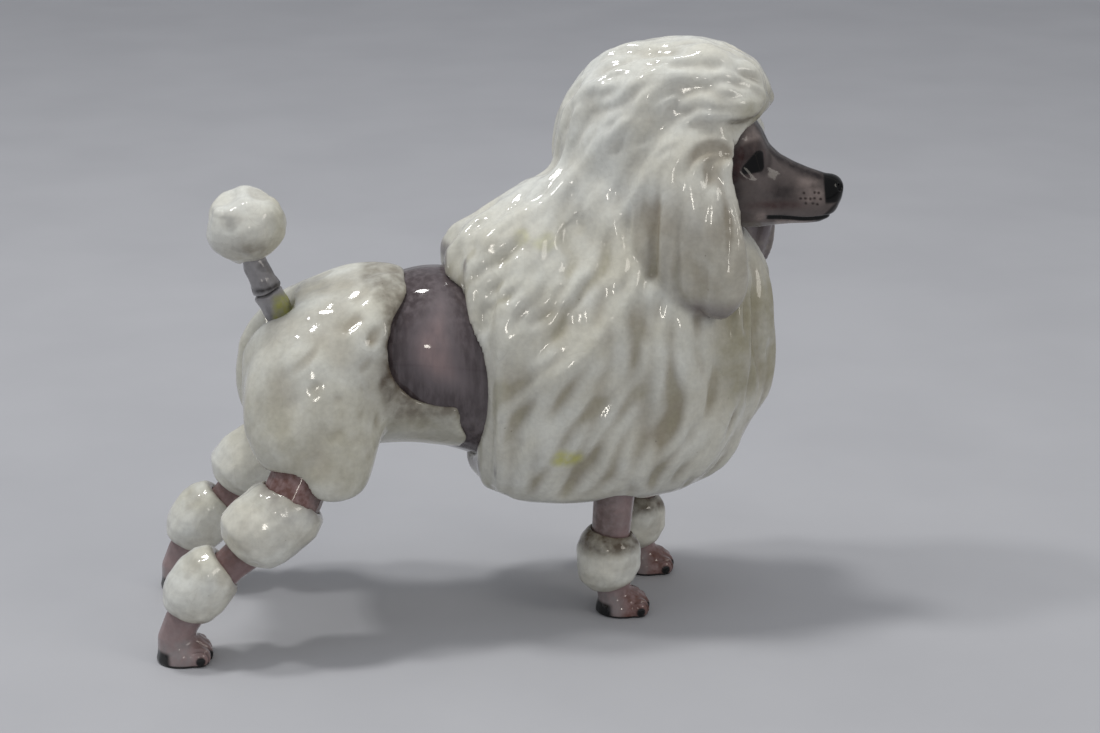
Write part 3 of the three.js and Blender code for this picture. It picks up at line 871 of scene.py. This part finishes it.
def foot_of(node):
    """The middle of a leg's foot on the ground, from its sole mount."""
    limb, _, side = node.split("_")
    for mount in frame["record"]["mounts"]:
        if mount["name"] == f"sole_{limb}_{side}":
            return np.array(mount["pos_m"]) / MM


def off_ray(ahead, aside, angle):
    """How far (ahead, aside) lies to the side of the ray that leaves the foot at an angle."""
    return ahead * math.sin(angle) - aside * math.cos(angle)


def claw_share(ahead, aside, height):
    out = ramp(np.hypot(ahead, aside), 4.2, 5)
    claws = np.zeros(len(height))
    for turn in CLAW_TURNS:
        off = np.hypot(off_ray(ahead, aside, math.radians(turn)), (height - 1.5) * 0.9)
        claws = np.maximum(claws, ramp(off, 1.15, 0.85) * out * ramp(ahead, 0, 1.5))
    return claws


def paint_hind_leg(skin, ahead, height, low_foot):
    cuff_gap = bump(height, 25.5, 3.2)
    knee = ramp(height, 31, 35) * ramp(skin.points[:, 0], -47, -43.5)
    thigh = 0.85 * ramp(height, 33, 37) * (1 - knee)
    toe_tint = 0.4 * low_foot * ramp(ahead, 1, 4)
    skin.masks["rust"] = np.maximum.reduce([0.55 * cuff_gap, thigh, toe_tint])
    skin.masks["umber"] = np.maximum(0.8 * knee, 0.3 * cuff_gap)
    skin.masks["grey"] = np.maximum(0.85 * low_foot * ramp(ahead, 3, 0), 0.35 * ramp(height, 16, 10))


def paint_front_leg(skin, foot, ahead, height, low_foot):
    forearm = ramp(height, 18, 24)
    toe_tint = 0.85 * low_foot * ramp(ahead, -2.5, 0.5)
    skin.masks["rust"] = np.maximum(toe_tint, 0.2 * forearm)
    back_of_leg = ramp(skin.points[:, 0] - foot[0], -1.0, -4.5)
    skin.masks["umber"] = 0.55 * ramp(height, 18, 21) * back_of_leg
    skin.masks["grey"] = np.maximum(0.5 * forearm, 0.8 * low_foot * ramp(ahead, 0.5, -2))


def make_leg(node):
    clay = Clay([node], FINE_STEP)
    clay.values -= 0.3
    clay.soften(3)
    clay.floor(0)
    skin = clay.skin()
    skin.relax(3)
    skin.points[:, 2] = np.maximum(skin.points[:, 2], 0)
    foot = foot_of(node)
    ahead = skin.points[:, 0] - foot[0]
    aside = skin.points[:, 1] - foot[1]
    toe_gap = np.abs(np.sin(math.pi * (aside / TOE_SPACING)))
    toes = ramp(ahead, 0.8, 3.2) * ramp(skin.points[:, 2], 5.8, 4.4)
    groove = toes * ramp(toe_gap, 0.5, 0.0)
    skin.push(-0.5 * groove)
    skin.points[:, 2] = np.maximum(skin.points[:, 2], 0)

    height = skin.points[:, 2]
    claws = claw_share(ahead, aside, height)
    heel = ramp(ahead, -3.0, -4.2) * ramp(height, 3.6, 2.6)
    # The black line along the sole is a painted contact shadow and the black in the toe grooves is
    # painted shade; claws and heel are painted black.
    sole = ramp(height, 0.75, 0.45)
    toe_groove_shade = 0.6 * groove * ramp(height, 4, 2)
    skin.masks["black"] = np.maximum.reduce([claws, heel, sole, toe_groove_shade])
    low_foot = ramp(height, 7.5, 5)
    if node.startswith("hind"):
        paint_hind_leg(skin, ahead, height, low_foot)
    else:
        paint_front_leg(skin, foot, ahead, height, low_foot)
    return make_piece(f"{node}_skin", skin, [node], LEG_GLAZE)


def make_cuff(node, leg, seed):
    clay = Clay([node], FINE_STEP)
    clay.soften(5)
    skin = clay.skin()
    skin.relax(3)
    near = distance_to(leg, skin.points)
    low, high = corners(node)
    lumps = 0.8 * Grain(low, high, 8, seed).at(skin.points)
    lumps += 0.3 * Grain(low, high, 4.5, seed + 1).at(skin.points)
    skin.push(0.2 * lumps * ramp(near, 0.5, 3))
    skin.relax(1)
    front = "front" in node
    ring = ramp(skin.points[:, 2], high[2] - 6.8, high[2] - 3.0) * ramp(skin.normals[:, 2], -0.5, 0.1)
    skin.masks["umber"] = ring * (1.0 if front else 0.0)
    skin.masks["wash_and_shade"] = np.maximum(0.25 * ramp(-lumps, 0.2, 1.5), 0.5 * ramp(near, 3.0, 0.8))
    skin.masks["mauve"] = (0.0 if front else 0.55) * ramp(near, 3.2, 0.8) * ramp(lumps, -0.6, 0.6)
    # Olive on faces turned down is painted shade under the cuff.
    skin.masks["olive"] = np.maximum(0.3 * ramp(-skin.normals[:, 2], -0.2, 0.8), 0.35 * ring)
    return make_piece(f"{node}_hair", skin, [node], COAT_GLAZE)


# ---- tail ----
def make_tail():
    joint = corners("tail_root")[1][2]
    for node in ("tail_root", "tail_stem"):
        clay = Clay([node], 0.2)
        clay.values -= 0.08
        clay.soften(3)
        skin = clay.skin()
        skin.relax(3)
        low, high = corners(node)
        lumps = Grain(low, high, 4, 4).at(skin.points)
        skin.push(0.12 * lumps)
        x, _, z = skin.points.T
        crack = bump(z - 0.25 * (x + 52), joint + 0.2, 0.7)
        skin.masks["dark"] = np.maximum(crack, 0.4 * ramp(lumps, 0.2, 1.4))
        if node == "tail_root":
            skin.masks["glue"] = ramp(x, low[0] + 3.0, low[0] + 4.8) * ramp(z, joint - 0.6, joint - 2.4)
        make_piece(f"{node}_skin", skin, [node], TAIL_GLAZE)


def make_pompon():
    clay = Clay(["tail_pompon"], FINE_STEP)
    clay.soften(5)
    low, high = corners("tail_pompon")
    middle = (low + high) / 2
    clay.blob(middle + [-5.6, -3.4, 8.6], (3.6, 4, 2.6), add=False, soft=3)
    skin = clay.skin()
    skin.relax(3)
    lumps = Grain(low, high, 9, 3).at(skin.points)
    fine = Grain(low, high, 4.5, 8).at(skin.points)
    skin.push(0.3 * lumps + 0.1 * fine)
    skin.relax(2)
    x, y, z = (skin.points - middle).T
    patch = bump(x, 1.2, 4.2) * bump(z, -3.6, 2.2) * ramp(-y, 0, 5)
    skin.masks["umber"] = 0.7 * patch
    skin.masks["wash_and_shade"] = np.maximum(0.3 * ramp(-lumps, 0.2, 1.5), 0.35 * ramp(z, 1, -7))
    skin.masks["olive"] = 0.5 * ramp(x, 2, 8)
    return make_piece("tail_pompon_hair", skin, ["tail_pompon"], COAT_GLAZE)


# ---- stage ----
def make_floor():
    mesh = bpy.data.meshes.new("floor")
    half = FLOOR_HALF
    square = [(-half, -half, 0), (half, -half, 0), (half, half, 0), (-half, half, 0)]
    mesh.from_pydata(square, [], [(0, 1, 2, 3)])
    floor = bpy.data.objects.new("floor", mesh)
    bpy.context.scene.collection.objects.link(floor)
    paint = Paint("floor_card")
    cloud = paint.spread(paint.noise(60, 5), 0.35, 0.65)
    colour = paint.mix(cloud, rgb(0.46, 0.465, 0.49), rgb(0.435, 0.44, 0.465))
    paint.join(colour, paint.shader.inputs["Base Color"])
    paint.shader.inputs["Roughness"].default_value = 0.75
    mesh.materials.append(paint.material)


def make_light(name, way, size, power, colour=(1, 1, 1), mirrored=True):
    """An area light LIGHT_DISTANCE away, in direction `way` from the middle of the object."""
    data = bpy.data.lights.new(name, "AREA")
    data.shape = "RECTANGLE"
    data.size, data.size_y = size
    data.energy = power
    data.color = colour
    light = bpy.data.objects.new(name, data)
    centre = (CAD_BOX[0] + CAD_BOX[1]) / 2
    way = Vector(way).normalized()
    light.location = centre + way * LIGHT_DISTANCE
    light.visible_glossy = mirrored
    light.rotation_euler = way.to_track_quat("Z", "Y").to_euler()
    bpy.context.scene.collection.objects.link(light)


LAMP_WHITE = (1.0, 0.99, 0.97)
WINDOW_WARM = (1.0, 0.95, 0.86)
SKY_BLUE = (0.93, 0.97, 1.0)


def make_lights():
    make_light("ceiling_lamp", (-0.12, 0.12, 0.98), (0.12, 0.12), 2.5, LAMP_WHITE)
    make_light("left_lamp", (-0.52, 0.06, 0.85), (0.1, 0.1), 1.9, LAMP_WHITE)
    make_light("right_window", (0.66, -0.55, 0.5), (0.28, 0.3), 1.1, WINDOW_WARM)
    make_light("front_window", (-0.2, -0.93, 0.33), (0.07, 0.12), 0.45, WINDOW_WARM)
    make_light("sky", (-0.1, 0.05, 1.1), (0.9, 0.7), 1.6, SKY_BLUE, mirrored=False)
    world = bpy.data.worlds.new("studio")
    world.use_nodes = True
    background = world.node_tree.nodes["Background"]
    background.inputs["Color"].default_value = rgb(0.6, 0.61, 0.64)
    background.inputs["Strength"].default_value = 0.6
    bpy.context.scene.world = world


def make_camera():
    azimuth, elevation = math.radians(CAMERA_AZIMUTH), math.radians(CAMERA_ELEVATION)
    flat = math.cos(elevation)
    back = Vector((math.sin(azimuth) * flat, -math.cos(azimuth) * flat, math.sin(elevation)))
    aim = (CAD_BOX[0] + CAD_BOX[1]) / 2 + Vector(AIM_FROM_CENTRE)
    data = bpy.data.cameras.new("camera")
    data.sensor_width = 36
    data.lens = data.sensor_width / 2 / math.tan(math.radians(CAMERA_FIELD / 2))
    data.clip_start = 0.02
    camera = bpy.data.objects.new("camera", data)
    camera.location = aim + back * CAMERA_DISTANCE
    camera.rotation_euler = (-back).to_track_quat("-Z", "Y").to_euler()
    bpy.context.scene.collection.objects.link(camera)
    bpy.context.scene.camera = camera


make_camera()
make_lights()
make_floor()
make_forehand()
make_loin()
make_hindquarters()
make_head()
make_tail()
make_pompon()
for side in ("right", "left"):
    make_leg(f"front_leg_{side}")
    make_leg(f"hind_leg_{side}")
    make_cuff(f"front_bracelet_{side}", f"front_leg_{side}", 41)
    make_cuff(f"hind_bracelet_upper_{side}", f"hind_leg_{side}", 43)
    make_cuff(f"hind_bracelet_lower_{side}", f"hind_leg_{side}", 45)

bpy.context.scene.view_settings.view_transform = "Standard"
